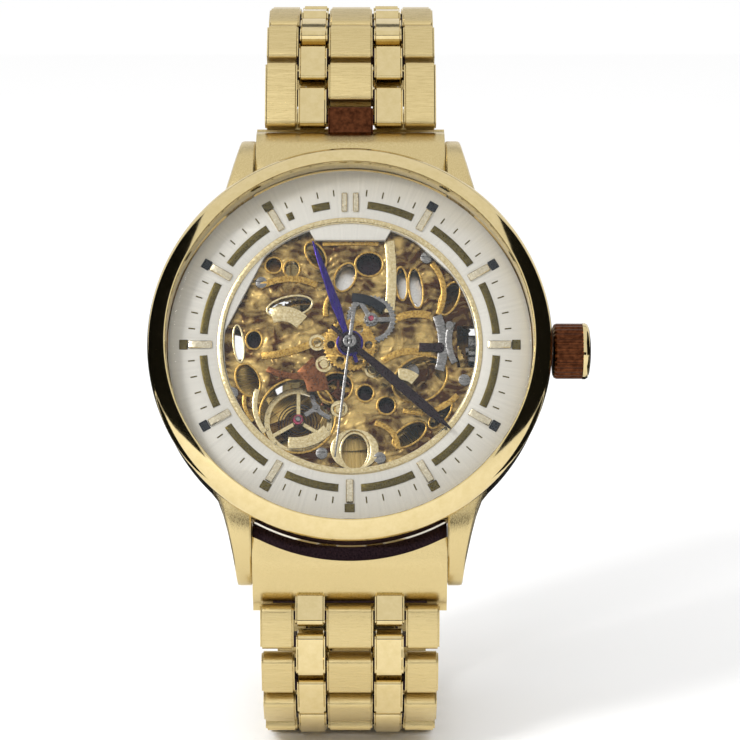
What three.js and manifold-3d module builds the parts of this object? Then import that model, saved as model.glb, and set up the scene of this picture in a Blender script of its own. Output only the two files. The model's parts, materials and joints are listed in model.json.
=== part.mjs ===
// Skeleton wristwatch standing on its closed bracelet, dial to the front (-Y).
// Millimetres, +Z up.  Head frame: u = right (+X), v = towards 12, w = out of the dial.
import * as THREE from 'three';
import { mergeVertices } from 'three/addons/utils/BufferGeometryUtils.js';
import Module from 'manifold-3d';

const wasm = await Module();
wasm.setup();

// ---- driving dimensions -------------------------------------------------
const LEAN = 24;             // the dial leans back from upright, degrees
const CASE_R = 20.7;         // middle case, outer radius
const BEZEL_R = 21.0;
const GLASS_R = 18.8;
const DIAL_R = 19.0;
const OPENING_R = 13.1;      // skeleton opening in the dial
const PLATE_R = 14.6;        // movement main plate
const HOLDER = [15.0, 17.2]; // movement holder ring, inner and outer radius
const BORE_R = 17.6;         // bore of the middle case
const BACK_BORE_R = 14.2;
const LUG_GAP = 10.15;       // half of the opening between two lugs
const BAR = [22.4, -2.8];    // spring bar, v and w
const STEM_W = -0.9;         // height of the winding stem
const HANDS = { hour: 340.5, minute: 131.5, second: 187 };   // degrees past 12

const PITCH = 5.1;           // bracelet, hinge to hinge
const THICK = 2.6;           // bracelet thickness
const KNUCKLE = THICK / 2;
const LINK_GAP = 0.3;
const PIN_R = 0.5;
const PIN_HOLE_R = 0.65;
const CENTRE_HALF = 2.45;    // five columns across: outer, inner, centre, inner, outer
const INNER_COL = [2.57, 5.67];
const OUTER_COL = [5.79, 9.29];
const TAPER = 0.0115;        // narrowing of each row towards the clasp
const UPPER_HINGE = [26.4, -3.4];   // hinge of the first row on the end link at 12, v and w
const LOWER_HINGE = [-27.4, -4.4];  // the same at 6
// direction of each row: degrees away from straight up (upper) or straight down (lower)
const UPPER = [29, 44, 72, 90, 110, 132, 152, 168];
const LOWER = [3, 26, 51, 75, 90, 90, 90, 112, 136, 156, 170];
const REST_LINK = 6;         // the lower row whose underside carries the frame origin

// axes of the movement, [u, v]
const CENTRE = [0, 0];
const THIRD = [-4.70, 1.71];
const ESCAPE = [-1.24, -4.62];
const PALLET = [-3.53, -6.15];
const BALANCE = [-5.40, -7.40];
const BARREL = [6.36, -2.32];
const CROWN_WHEEL = [10.2, 2.95];
const MINUTE_WHEEL = [2.2, 2.85];

// ---- small tools --------------------------------------------------------
const rad = (degrees) => degrees * Math.PI / 180;
const polar = (r, degrees) => [r * Math.cos(rad(degrees)), r * Math.sin(rad(degrees))];

function toManifold(geometry) {
  const g = geometry.clone();
  g.deleteAttribute('normal');
  g.deleteAttribute('uv');
  const merged = mergeVertices(g, 1e-5);
  const vertProperties = new Float32Array(merged.attributes.position.array);
  const triVerts = new Uint32Array(merged.index.array);
  let volume = 0;
  const a = new THREE.Vector3();
  const b = new THREE.Vector3();
  const c = new THREE.Vector3();
  for (let i = 0; i < triVerts.length; i += 3) {
    a.fromArray(vertProperties, 3 * triVerts[i]);
    b.fromArray(vertProperties, 3 * triVerts[i + 1]);
    c.fromArray(vertProperties, 3 * triVerts[i + 2]);
    volume += a.dot(b.cross(c));
  }
  if (volume < 0) {
    for (let i = 0; i < triVerts.length; i += 3) {
      [triVerts[i + 1], triVerts[i + 2]] = [triVerts[i + 2], triVerts[i + 1]];
    }
  }
  return new wasm.Manifold(new wasm.Mesh({ numProp: 3, vertProperties, triVerts }));
}

function toGeometry(solid) {
  const mesh = solid.getMesh();
  const g = new THREE.BufferGeometry();
  g.setAttribute('position', new THREE.BufferAttribute(new Float32Array(mesh.vertProperties), 3));
  g.setIndex(new THREE.BufferAttribute(new Uint32Array(mesh.triVerts), 1));
  return g;
}

function unite(...pieces) {
  return toGeometry(pieces.map(toManifold).reduce((sum, piece) => sum.add(piece)));
}

function cut(body, ...tools) {
  return toGeometry(tools.map(toManifold).reduce((rest, tool) => rest.subtract(tool), toManifold(body)));
}

function meet(one, other) {
  return toGeometry(toManifold(one).intersect(toManifold(other)));
}

// closed profile of [radius, height] turned round the w axis
function turned(profile, segments = 40) {
  const points = [...profile, profile[0]].map(([r, h]) => new THREE.Vector2(r, h));
  const g = new THREE.LatheGeometry(points, segments);
  g.rotateX(Math.PI / 2);
  return g;
}

function ring(inner, outer, low, high, segments = 40) {
  return turned([[inner, low], [outer, low], [outer, high], [inner, high]], segments);
}

function disc(r, low, high, segments = 24, at = [0, 0]) {
  const g = new THREE.CylinderGeometry(r, r, high - low, segments);
  g.rotateX(Math.PI / 2);
  g.translate(at[0], at[1], (low + high) / 2);
  return g;
}

function prism(points, low, high) {
  const shape = new THREE.Shape(points.map(([x, y]) => new THREE.Vector2(x, y)));
  const g = new THREE.ExtrudeGeometry(shape, { depth: high - low, bevelEnabled: false });
  g.translate(0, 0, low);
  return g;
}

function block(x, y, z) {
  const g = new THREE.BoxGeometry(x[1] - x[0], y[1] - y[0], z[1] - z[0]);
  g.translate((x[0] + x[1]) / 2, (y[0] + y[1]) / 2, (z[0] + z[1]) / 2);
  return g;
}

// a side outline of [y, z] swept across x
function slab(outline, x0, x1) {
  const g = prism(outline, x0, x1);
  const swap = new THREE.Matrix4().set(0, 0, 1, 0, 1, 0, 0, 0, 0, 1, 0, 0, 0, 0, 0, 1);
  g.applyMatrix4(swap);
  return g;
}

function rod(r, x0, x1, y = 0, z = 0, segments = 16) {
  const g = new THREE.CylinderGeometry(r, r, x1 - x0, segments);
  g.rotateZ(Math.PI / 2);
  g.translate((x0 + x1) / 2, y, z);
  return g;
}

// a straight arm from one point to another with square ends
function arm(from, to, width, low, high) {
  const along = new THREE.Vector2(to[0] - from[0], to[1] - from[1]);
  const g = block([0, along.length()], [-width / 2, width / 2], [low, high]);
  g.rotateZ(along.angle());
  g.translate(from[0], from[1], 0);
  return g;
}

function toothed(count, module, low, high, clearance = 0.05) {
  const tip = count * module / 2 - clearance;
  const root = tip - 1.1 * module;
  const outline = [];
  for (let i = 0; i < count; i += 1) {
    outline.push(polar(tip, 360 * i / count));
    outline.push(polar(root, 360 * (i + 0.5) / count));
  }
  return prism(outline, low, high);
}

// openings between the spokes of a wheel
function crossings(count, inner, outer, spoke, low, high) {
  const holes = [];
  for (let i = 0; i < count; i += 1) {
    const outline = [];
    const start = 360 * i / count;
    const half = (r) => THREE.MathUtils.radToDeg(Math.asin(spoke / 2 / r));
    for (let k = 0; k <= 3; k += 1) {
      const span = 360 / count - 2 * half(outer);
      outline.push(polar(outer, start + half(outer) + span * k / 3));
    }
    outline.push(polar(inner, start + 360 / count - half(inner)));
    outline.push(polar(inner, start + half(inner)));
    holes.push(prism(outline, low - 0.5, high + 0.5));
  }
  return holes;
}

function moved(geometry, at) {
  geometry.translate(at[0], at[1], 0);
  return geometry;
}

// ---- frames -------------------------------------------------------------
const toHinge = (v, w) => {
  const lean = rad(LEAN);
  return [v * Math.sin(lean) - w * Math.cos(lean), v * Math.cos(lean) + w * Math.sin(lean)];
};

function chainPoints(start, headings, upward) {
  const points = [start];
  headings.forEach((heading) => {
    const [y, z] = points[points.length - 1];
    const rise = Math.cos(rad(heading)) * upward;
    points.push([y + PITCH * Math.sin(rad(heading)), z + PITCH * rise]);
  });
  return points;
}

const upperHinges = chainPoints(toHinge(...UPPER_HINGE), UPPER, 1);
const lowerHinges = chainPoints(toHinge(...LOWER_HINGE), LOWER, -1);
const REST_S = (PITCH - 2 * KNUCKLE - LINK_GAP) / 2;   // middle of a centre column
const ORIGIN = [lowerHinges[REST_LINK - 1][0] + REST_S, lowerHinges[REST_LINK - 1][1] - KNUCKLE];

// local x stays x, local y runs from one point towards the other, local z = x cross y
function placed(geometry, from, towards) {
  const length = Math.hypot(towards[0] - from[0], towards[1] - from[1]);
  const y = (towards[0] - from[0]) / length;
  const z = (towards[1] - from[1]) / length;
  const m = new THREE.Matrix4();
  m.set(1, 0, 0, 0, 0, y, -z, from[0] - ORIGIN[0], 0, z, y, from[1] - ORIGIN[1], 0, 0, 0, 1);
  geometry.applyMatrix4(m);
  return geometry;
}

const onHead = (geometry) => placed(geometry, [0, 0], toHinge(1, 0));

const watch = new THREE.Group();
watch.name = 'skeleton_wristwatch';

const COLOURS = {
  polished_gold: 0xd4ad62,
  brushed_gold: 0xc9a55c,
  movement_gold: 0xb98a3e,
  dial_silver: 0xe9e6df,
  clear_glass: 0xdfe8ec,
  blued_steel: 0x2a2f6b,
  steel: 0x9a9ca0,
};

function add(name, slot, geometry) {
  const material = new THREE.MeshStandardMaterial({ color: COLOURS[slot], metalness: 0.6 });
  material.name = slot;
  const mesh = new THREE.Mesh(geometry, material);
  mesh.name = name;
  geometry.computeVertexNormals();
  watch.add(mesh);
}

const addHead = (name, slot, geometry) => add(name, slot, onHead(geometry));

// ---- case ---------------------------------------------------------------
function middleCase() {
  const band = turned([
    [BORE_R, -3.6], [20.0, -3.6], [CASE_R, -2.6], [CASE_R, 1.6],
    [20.3, 2.3], [19.3, 2.3], [19.3, 0.9], [BORE_R, 0.9],
  ], 44);
  const side = [
    [13, -3.4], [18, -3.6], [20.5, -4.5], [22.6, -5.5], [23.7, -5.3],
    [24.2, -4.2], [23.4, -2.2], [21.2, 0.0], [18, 1.3], [13, 1.5],
  ];
  const plan = [
    [LUG_GAP, 15.2], [14.2, 13.9], [13.7, 15.6], [12.8, 18.5], [12.1, 21.5], [11.7, 24.5],
    [LUG_GAP, 24.5],
  ];
  const lug = meet(slab(side, 9, 16), prism(plan, -7, 3));
  const lugs = [0, 1, 2, 3].map((i) => {
    const g = lug.clone();
    g.scale(i % 2 ? -1 : 1, i > 1 ? -1 : 1, 1);
    return g;
  });
  const barHoles = [-1, 1].map((end) => rod(0.62, -11.1, 11.1, end * BAR[0], BAR[1]));
  const stemHole = rod(0.9, 17, 22, 0, STEM_W);
  const dialSeat = turned([[0, 0.9], [19.3, 0.9], [19.3, 3], [0, 3]], 44);
  return cut(unite(band, ...lugs), dialSeat, ...barHoles, stemHole);
}

function crownShape() {
  const outline = [];
  for (let i = 0; i < 24; i += 1) {
    outline.push(polar(2.9, 15 * i));
    outline.push(polar(2.62, 15 * i + 7.5));
  }
  const body = prism(outline, 21.2, 24.4);
  const end = turned([[0, 24.2], [2.5, 24.2], [2.1, 25.0], [0, 25.2]], 24);
  const hole = disc(0.7, 20, 22.7, 16);
  const shape = cut(unite(body, end), hole);
  shape.rotateY(Math.PI / 2);
  shape.translate(0, 0, STEM_W);
  return shape;
}

addHead('mid_case', 'polished_gold', middleCase());
addHead('bezel', 'polished_gold', turned([
  [19.0, 2.6], [BEZEL_R, 2.6], [BEZEL_R, 3.2], [20.5, 4.3], [19.7, 4.9], [19.0, 4.9],
], 44));
addHead('crystal', 'clear_glass', turned([
  [0, 3.9], [GLASS_R, 3.9], [GLASS_R, 4.7], [17.6, 5.1], [0, 5.3],
]));
addHead('case_back', 'polished_gold', turned([
  [BACK_BORE_R, -6.4], [17.5, -6.4], [19.7, -4.5], [19.7, -3.85], [BACK_BORE_R, -3.85],
]));
addHead('back_crystal', 'clear_glass', disc(14.0, -6.2, -5.7, 40));
addHead('crown', 'polished_gold', crownShape());
addHead('stem', 'steel', rod(0.45, 12.1, 22.5, 0, STEM_W, 12));

// ---- dial and hands -----------------------------------------------------
function dialRing() {
  const parts = [ring(OPENING_R, DIAL_R, 1.2, 1.8), ring(OPENING_R, 13.9, 1.5, 2.05)];
  for (let hour = 0; hour < 12; hour += 1) {
    const marker = block([-0.65, 0.65], [14.4, 17.1], [1.6, 2.15]);
    marker.rotateZ(-rad(30 * hour));
    parts.push(marker);
  }
  parts.push(block([-3.7, 3.7], [11.3, 13.3], [1.25, 1.8]));
  return unite(...parts);
}

function hand(length, tail, width, hub, hole, low, clock) {
  const blade = prism([
    [-0.2, -tail], [0.2, -tail], [width / 2, 0], [width / 2, length * 0.7], [0.08, length],
    [-0.08, length], [-width / 2, length * 0.7], [-width / 2, 0],
  ], low, low + 0.2);
  const g = cut(unite(blade, disc(hub, low, low + 0.2, 20)), disc(hole, low - 1, low + 1, 16));
  g.rotateZ(-rad(clock));
  return g;
}

addHead('dial_ring', 'dial_silver', dialRing());
addHead('hour_hand', 'blued_steel', hand(11.7, 2.2, 1.1, 1.5, 1.0, 2.35, HANDS.hour));
addHead('minute_hand', 'blued_steel', hand(13.9, 2.6, 0.95, 1.2, 0.62, 2.85, HANDS.minute));
addHead('seconds_hand', 'steel', hand(12.4, 4.2, 0.36, 0.75, 0.3, 3.35, HANDS.second));

// ---- motion work, on the dial side of the main plate --------------------
addHead('cannon_pinion', 'steel', cut(
  unite(toothed(12, 0.15, 1.2, 1.45), disc(0.8, 1.3, 2.7, 16)),
  disc(0.62, 0, 4, 16),
));
addHead('hour_wheel', 'movement_gold', cut(
  unite(toothed(40, 0.144, 1.6, 1.8), disc(1.3, 1.7, 2.2, 16)),
  disc(1.0, 0, 4, 16),
));
addHead('minute_wheel', 'movement_gold', moved(cut(
  unite(toothed(36, 0.15, 1.2, 1.4), toothed(10, 0.144, 1.35, 1.85)),
  disc(0.3, 0, 4, 12),
), MINUTE_WHEEL));

// ---- movement -----------------------------------------------------------
// round openings in the main plate: [u, v, radius]
const WINDOWS = [
  [-0.8, 7.8, 2.4], [5.6, 6.6, 2.5], [-6.2, 3.0, 3.0], [-5.4, -7.4, 3.9], [6.6, -3.6, 3.9],
  [1.2, -9.8, 2.2], [-0.6, -3.7, 1.1], [-6.4, 9.2, 1.7], [-11.2, 1.5, 1.2], [10.6, 5.6, 1.3],
  [-10.6, -3.4, 1.4], [7.4, -10.4, 1.2],
];

function mainPlate() {
  const windows = WINDOWS.map(([u, v, r]) => disc(r, -1, 2, 14, [u, v]));
  const keyless = block([11.2, 16], [-2.2, 2.2], [-1, 2]);
  return cut(disc(PLATE_R, -0.2, 1.0, 40), ...windows, keyless, disc(0.75, -1, 2, 16));
}

function wheel(teeth, module, low, high, spokes) {
  const pitchR = teeth * module / 2;
  return cut(toothed(teeth, module, low, high), ...crossings(spokes, 1.1, pitchR - 0.75, 0.5, low, high));
}

addHead('mainplate', 'movement_gold', mainPlate());
addHead('movement_ring', 'steel', cut(
  ring(HOLDER[0], HOLDER[1], -3.3, 0.6),
  rod(0.9, 14, 18, 0, STEM_W),
));
addHead('barrel', 'movement_gold', moved(unite(
  toothed(72, 0.165, -1.45, -1.15),
  disc(5.2, -1.3, -0.45, 24),
  disc(0.8, -2.7, -1.3, 12),
), BARREL));
addHead('center_wheel', 'movement_gold', cut(
  unite(wheel(64, 0.1389, -1.8, -1.6, 4), toothed(10, 0.165, -1.7, -1.1), disc(0.5, -1.3, 3.25, 12)),
  disc(0.3, -3, 4, 12),
));
addHead('third_wheel', 'movement_gold', moved(unite(
  wheel(60, 0.147, -2.15, -1.95, 4),
  toothed(8, 0.1389, -2.1, -1.6),
  disc(0.25, -2.75, -0.35, 10),
), THIRD));
addHead('fourth_wheel', 'movement_gold', unite(
  wheel(60, 0.145, -2.5, -2.3, 4),
  toothed(8, 0.147, -2.4, -1.95),
  disc(0.18, -2.75, 3.6, 10),
));
addHead('escape_wheel', 'steel', moved(unite(
  cut(toothed(15, 0.3, -0.9, -0.7), ...crossings(4, 0.6, 1.45, 0.35, -0.9, -0.7)),
  toothed(6, 0.145, -2.5, -2.25, 0.04),
  disc(0.18, -2.75, -0.35, 8),
), ESCAPE));
addHead('barrel_bridge', 'movement_gold', barrelBridge());
addHead('train_bridge', 'movement_gold', trainBridge());
addHead('balance_cock', 'movement_gold', unite(
  disc(1.5, -3.4, -2.9, 12, BALANCE),
  arm(BALANCE, [-9.75, -8.9], 2.0, -3.4, -2.9),
  disc(0.8, -3.4, -0.5, 10, [-9.75, -8.9]),
));

function trainBridge() {
  const feet = [polar(13.2, 95), polar(13.2, 165)];
  return unite(
    disc(1.8, -3.4, -2.9, 16),
    disc(1.4, -3.4, -2.9, 12, THIRD),
    disc(1.1, -3.4, -2.9, 12, ESCAPE),
    arm(CENTRE, ESCAPE, 1.4, -3.4, -2.9),
    arm(CENTRE, THIRD, 1.6, -3.4, -2.9),
    arm(THIRD, feet[1], 1.8, -3.4, -2.9),
    arm(CENTRE, [3.0, 8.0], 1.5, -3.4, -2.9),
    arm([3.2, 7.7], feet[0], 1.6, -3.4, -2.9),
    ...feet.map((at) => disc(0.8, -3.4, -0.5, 10, at)),
    disc(0.9, -5.5, -3.2, 12),
  );
}

function barrelBridge() {
  const feet = [polar(13.2, -48), polar(13.2, 36)];
  return unite(
    disc(2.6, -3.4, -2.9, 16, BARREL),
    disc(1.6, -3.4, -2.9, 12, CROWN_WHEEL),
    arm(BARREL, feet[0], 2.4, -3.4, -2.9),
    arm(BARREL, CROWN_WHEEL, 2.2, -3.4, -2.9),
    arm(CROWN_WHEEL, feet[1], 2.0, -3.4, -2.9),
    ...feet.map((at) => disc(0.8, -3.4, -0.5, 10, at)),
  );
}

addHead('ratchet_wheel', 'steel', moved(cut(
  toothed(36, 0.215, -3.9, -3.6),
  disc(0.7, -5, -3, 12),
), BARREL));
addHead('crown_wheel', 'steel', moved(cut(
  toothed(24, 0.215, -3.9, -3.6),
  disc(0.6, -5, -3, 12),
), CROWN_WHEEL));

const pinion = cut(toothed(12, 0.26, 12.4, 13.8), disc(0.7, 10, 16, 12));
pinion.rotateY(Math.PI / 2);
pinion.translate(0, 0, STEM_W);
addHead('winding_pinion', 'steel', pinion);

// ---- escapement and balance ---------------------------------------------
function palletFork() {
  const towards = THREE.MathUtils.radToDeg(Math.atan2(PALLET[1] - ESCAPE[1], PALLET[0] - ESCAPE[0]));
  const outline = [];
  for (let k = -3; k <= 3; k += 1) {
    outline.push(polar(2.95, towards + 13 * k));
  }
  for (let k = 3; k >= -3; k -= 1) {
    outline.push(polar(2.48, towards + 13 * k));
  }
  const anchor = moved(prism(outline, -1.0, -0.7), ESCAPE);
  const reach = [
    PALLET[0] + (BALANCE[0] - PALLET[0]) * 0.62,
    PALLET[1] + (BALANCE[1] - PALLET[1]) * 0.62,
  ];
  return unite(
    anchor,
    arm(PALLET, reach, 0.45, -1.0, -0.7),
    disc(0.45, -1.0, -0.7, 12, PALLET),
    disc(0.2, -1.35, -0.35, 8, PALLET),
  );
}

function hairspring() {
  const outer = [];
  const inner = [];
  const steps = 32;
  for (let i = 0; i <= steps; i += 1) {
    const r = 0.75 + 1.5 * i / steps;
    outer.push(polar(r + 0.07, 24 * i));
    inner.unshift(polar(r - 0.07, 24 * i));
  }
  return moved(prism([...outer, ...inner], -2.55, -2.3), BALANCE);
}

addHead('pallet_fork', 'steel', palletFork());
addHead('balance_wheel', 'movement_gold', moved(unite(
  ring(3.0, 3.6, -2.1, -1.6, 28),
  block([-3.2, 3.2], [-0.3, 0.3], [-2.0, -1.7]),
  disc(0.3, -2.75, -0.35, 12),
  disc(0.55, -1.05, -0.6, 12),
), BALANCE));
addHead('hairspring', 'blued_steel', hairspring());

function rotor() {
  const rim = [];
  const web = [];
  for (let k = 0; k <= 16; k += 1) {
    rim.push(polar(13.4, 180 + 180 * k / 16));
    web.push(polar(10.5, 184 + 172 * k / 16));
  }
  const rimInner = rim.map(([u, v]) => [u * 9.9 / 13.4, v * 9.9 / 13.4]).reverse();
  const body = unite(
    prism([...rim, ...rimInner], -5.3, -4.3),
    prism([...web, [2.4, 0.3], [-2.4, 0.3]], -4.75, -4.35),
    disc(2.5, -5.0, -4.3, 24),
  );
  return cut(body, disc(1.15, -6, -4, 16));
}

addHead('rotor', 'movement_gold', rotor());

// ---- bracelet -----------------------------------------------------------
// side outline of a column; a round end turns about a hinge KNUCKLE inside it
function columnOutline(from, to, roundStart, roundEnd) {
  const half = [];
  for (let k = -2; k <= 2; k += 1) {
    half.push(polar(KNUCKLE, 45 * k));
  }
  const end = roundEnd
    ? half.map(([a, b]) => [to - KNUCKLE + a, b])
    : [[to, -KNUCKLE], [to, KNUCKLE]];
  const start = roundStart
    ? half.map(([a, b]) => [from + KNUCKLE - a, -b])
    : [[from, KNUCKLE], [from, -KNUCKLE]];
  return [...end, ...start];
}

const rowFactor = (index) => 1 - TAPER * index;
const bothSides = (range, factor) => [
  [range[0] * factor, range[1] * factor],
  [-range[1] * factor, -range[0] * factor],
];

// One row: three columns round its own pin, two inner columns reaching for the next pin.
function row(index, nextIndex, longOuter = false) {
  const own = rowFactor(index);
  const next = rowFactor(nextIndex);
  const tail = PITCH - KNUCKLE - LINK_GAP;
  const short = columnOutline(-KNUCKLE, tail, true, false);
  const outer = longOuter ? columnOutline(-KNUCKLE, PITCH + KNUCKLE, true, true) : short;
  const reach = columnOutline(KNUCKLE + LINK_GAP, PITCH + KNUCKLE, false, true);
  const columns = [
    slab(short, -CENTRE_HALF * own, CENTRE_HALF * own),
    ...bothSides(OUTER_COL, own).map(([a, b]) => slab(outer, a, b)),
    ...bothSides(INNER_COL, next).map(([a, b]) => slab(reach, a, b)),
    block([-8 * own, 8 * own], [1.95, 3.2], [-0.8, 0.8]),
    rod(PIN_R, -7 * own, 7 * own, 0, 0, 6),
  ];
  return cut(unite(...columns), rod(PIN_HOLE_R, -5.73 * next, 5.73 * next, PITCH, 0, 6));
}

LOWER.forEach((heading, i) => {
  const name = `link_lower_${String(i + 1).padStart(2, '0')}`;
  add(name, 'brushed_gold', placed(row(i, i + 1), lowerHinges[i], lowerHinges[i + 1]));
});
UPPER.forEach((heading, i) => {
  const name = `link_upper_${String(i + 1).padStart(2, '0')}`;
  const body = row(i + 1, i, i === 0);
  add(name, 'brushed_gold', placed(body, upperHinges[i + 1], upperHinges[i]));
});

// solid part of an end link, between the lugs, ending one gap short of the first row
function endLinkBody(hinge) {
  const end = Math.abs(hinge[0]) - KNUCKLE - LINK_GAP;
  const side = [
    [17, -3.4], [20.4, -4.2], [22.5, -4.7], [end, hinge[1] - KNUCKLE], [end, hinge[1] + KNUCKLE],
    [22.8, -0.9], [20.2, 0.3], [17, 0.9],
  ];
  return cut(
    slab(side, -9.85, 9.85),
    disc(CASE_R + 0.35, -8, 5, 44),
    rod(0.95, -11, 11, BAR[0], BAR[1]),
  );
}

function lowerEndLink() {
  const [v, w] = [-LOWER_HINGE[0], LOWER_HINGE[1]];
  const outline = columnOutline(-2.6, KNUCKLE, false, true);
  const prongs = bothSides(INNER_COL, 1).map(([a, b]) => {
    const g = slab(outline, a, b);
    g.translate(0, v, w);
    return g;
  });
  const body = cut(unite(endLinkBody(LOWER_HINGE), ...prongs), rod(PIN_HOLE_R, -5.73, 5.73, v, w, 6));
  body.scale(1, -1, 1);
  return unite(body);
}

function upperEndLink() {
  const [v, w] = UPPER_HINGE;
  const stub = slab(columnOutline(-2.6, KNUCKLE, false, true), -CENTRE_HALF, CENTRE_HALF);
  stub.translate(0, v, w);
  return unite(endLinkBody(UPPER_HINGE), stub, rod(PIN_R, -5.6, 5.6, v, w, 6));
}

function springBar(end) {
  return unite(
    rod(0.75, -9.6, 9.6, end * BAR[0], BAR[1], 12),
    rod(0.42, -10.9, 10.9, end * BAR[0], BAR[1], 10),
  );
}

addHead('end_link_upper', 'brushed_gold', upperEndLink());
addHead('end_link_lower', 'brushed_gold', lowerEndLink());
addHead('spring_bar_upper', 'steel', springBar(1));
addHead('spring_bar_lower', 'steel', springBar(-1));

// ---- folding clasp: s from the last lower hinge to the last upper one, i inwards -----
const FIRST = lowerHinges[LOWER.length];
const LAST = upperHinges[UPPER.length];
const SPAN = Math.hypot(LAST[0] - FIRST[0], LAST[1] - FIRST[1]);
const COVER_HALF = 8.1;
const BLADE_HALF = 6.0;
const COVER_HINGE = [2.9, 1.1];             // cover on the middle blade, s and i
const BLADE_HINGE = [SPAN - 14, 2.2];       // middle blade on the inner blade
const HINGE_R = 0.8;
const BUTTON_S = [20.3, 25.7];
const addClasp = (name, slot, geometry) => add(name, slot, placed(geometry, FIRST, LAST));
const mirrored = (range) => [range, [-range[1], -range[0]]];

function claspCover() {
  const far = SPAN - 2.0;
  const plate = slab([
    [1.7, -1.1], [8, -1.7], [22.5, -2.1], [37, -1.7], [far, -1.1],
    [far, 0], [37, -0.5], [22.5, -0.9], [8, -0.5], [1.7, 0],
  ], -COVER_HALF, COVER_HALF);
  const [s, i] = COVER_HINGE;
  const corners = mirrored([5.3, COVER_HALF]).map((x) => block(x, [-0.6, 2.4], [-1.1, 0]));
  const ears = mirrored([5.5, 7.0]).flatMap((x) => [
    block(x, [s - HINGE_R, s + HINGE_R], [-0.4, i]),
    rod(HINGE_R, x[0], x[1], s, i, 12),
  ]);
  const hole = rod(0.55, -7.1, 7.1, s, i, 10);
  const notch = block([-5.2, 5.2], [1, 6.0], [-3, 2]);
  const pockets = mirrored([7.2, 9]).map((x) => block(x, [BUTTON_S[0] - 0.3, BUTTON_S[1] + 0.3], [-3, 1]));
  return cut(unite(plate, ...corners, ...ears), hole, notch, ...pockets);
}

function middleBlade() {
  const [s1, i1] = COVER_HINGE;
  const [s2, i2] = BLADE_HINGE;
  const low = mirrored([3.4, 5.2]).flatMap((x) => [
    rod(HINGE_R, x[0], x[1], s1, i1, 12),
    block(x, [s1, 5.8], [1.2, 1.8]),
  ]);
  const high = mirrored([2.8, 5.8]).flatMap((x) => [
    rod(HINGE_R, x[0], x[1], s2, i2, 12),
    block(x, [s2 - 1.7, s2], [1.2, 1.8]),
  ]);
  const pins = mirrored([4.0, 6.8]).map((x) => rod(0.4, x[0], x[1], s1, i1, 10));
  const plate = block([-BLADE_HALF, BLADE_HALF], [5.6, s2 - 1.5], [1.2, 1.8]);
  return cut(unite(plate, ...low, ...high, ...pins), rod(0.55, -5.9, 5.9, s2, i2, 10));
}

function innerBlade() {
  const [s2, i2] = BLADE_HINGE;
  const factor = rowFactor(LOWER.length);
  const armOutline = [[-0.6, 1.0], [0.9, 0.7], [3.2, 2.5], [5, 2.5], [5, 3.1], [2.6, 3.1]];
  return unite(
    rod(1.2, -2.1, 2.1, 0, 0, 16),
    rod(PIN_R, -5.0 * factor, 5.0 * factor, 0, 0, 6),
    slab(armOutline, -2.1, 2.1),
    block([-BLADE_HALF, BLADE_HALF], [4.5, s2 - 1.5], [2.5, 3.1]),
    block([-2.5, 2.5], [s2 - 1.7, s2], [2.5, 3.1]),
    rod(HINGE_R, -2.5, 2.5, s2, i2, 12),
    rod(0.4, -5.5, 5.5, s2, i2, 10),
  );
}

addClasp('clasp_blade_inner', 'polished_gold', innerBlade());
addClasp('clasp_blade_middle', 'polished_gold', middleBlade());
addClasp('clasp_cover', 'brushed_gold', claspCover());
addClasp('button_right', 'polished_gold', block([7.95, 8.9], BUTTON_S, [-1.8, -0.9]));
addClasp('button_left', 'polished_gold', block([-8.9, -7.95], BUTTON_S, [-1.8, -0.9]));

export default watch;
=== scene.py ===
import json
import math
import bmesh
import bpy
from mathutils import Matrix, Vector


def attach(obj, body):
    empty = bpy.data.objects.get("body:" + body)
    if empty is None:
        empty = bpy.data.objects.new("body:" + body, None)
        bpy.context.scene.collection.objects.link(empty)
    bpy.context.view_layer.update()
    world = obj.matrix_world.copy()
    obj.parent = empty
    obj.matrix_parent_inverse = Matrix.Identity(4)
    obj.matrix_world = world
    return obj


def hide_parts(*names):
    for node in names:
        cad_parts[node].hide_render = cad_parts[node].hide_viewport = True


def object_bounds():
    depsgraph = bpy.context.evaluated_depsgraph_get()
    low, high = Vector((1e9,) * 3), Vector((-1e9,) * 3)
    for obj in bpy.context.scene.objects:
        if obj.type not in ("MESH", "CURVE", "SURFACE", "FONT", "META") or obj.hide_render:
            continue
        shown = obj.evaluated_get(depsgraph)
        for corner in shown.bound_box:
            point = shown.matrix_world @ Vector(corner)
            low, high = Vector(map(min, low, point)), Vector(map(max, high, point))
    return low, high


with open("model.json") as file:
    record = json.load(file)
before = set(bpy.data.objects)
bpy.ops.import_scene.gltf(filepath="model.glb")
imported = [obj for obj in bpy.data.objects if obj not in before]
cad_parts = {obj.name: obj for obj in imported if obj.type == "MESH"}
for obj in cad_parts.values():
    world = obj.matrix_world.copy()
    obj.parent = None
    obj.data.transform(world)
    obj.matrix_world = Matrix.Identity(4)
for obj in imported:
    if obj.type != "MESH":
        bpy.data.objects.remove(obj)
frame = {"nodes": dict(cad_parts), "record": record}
cad_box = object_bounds()

MM = 0.001
RECORD = frame["record"]
JOINTS = {j["name"]: j for j in RECORD["behaviour"]["joints"]}
BODY_OF = {n: b for b, nodes in RECORD["behaviour"]["bodies"].items() for n in nodes}


# ---- frames
def joint_at(name):
    return Vector(JOINTS[name]["pos_m"])


def frame_matrix(origin, y_axis):
    """Local millimetres to metres: x stays x, y runs along y_axis, z is x cross y."""
    x = Vector((1, 0, 0))
    y = Vector(y_axis).normalized()
    z = x.cross(y)
    m = Matrix.Identity(4)
    for i, axis in enumerate((x, y, z)):
        m.col[i][:3] = axis * MM
    m.translation = origin
    return m


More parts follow.
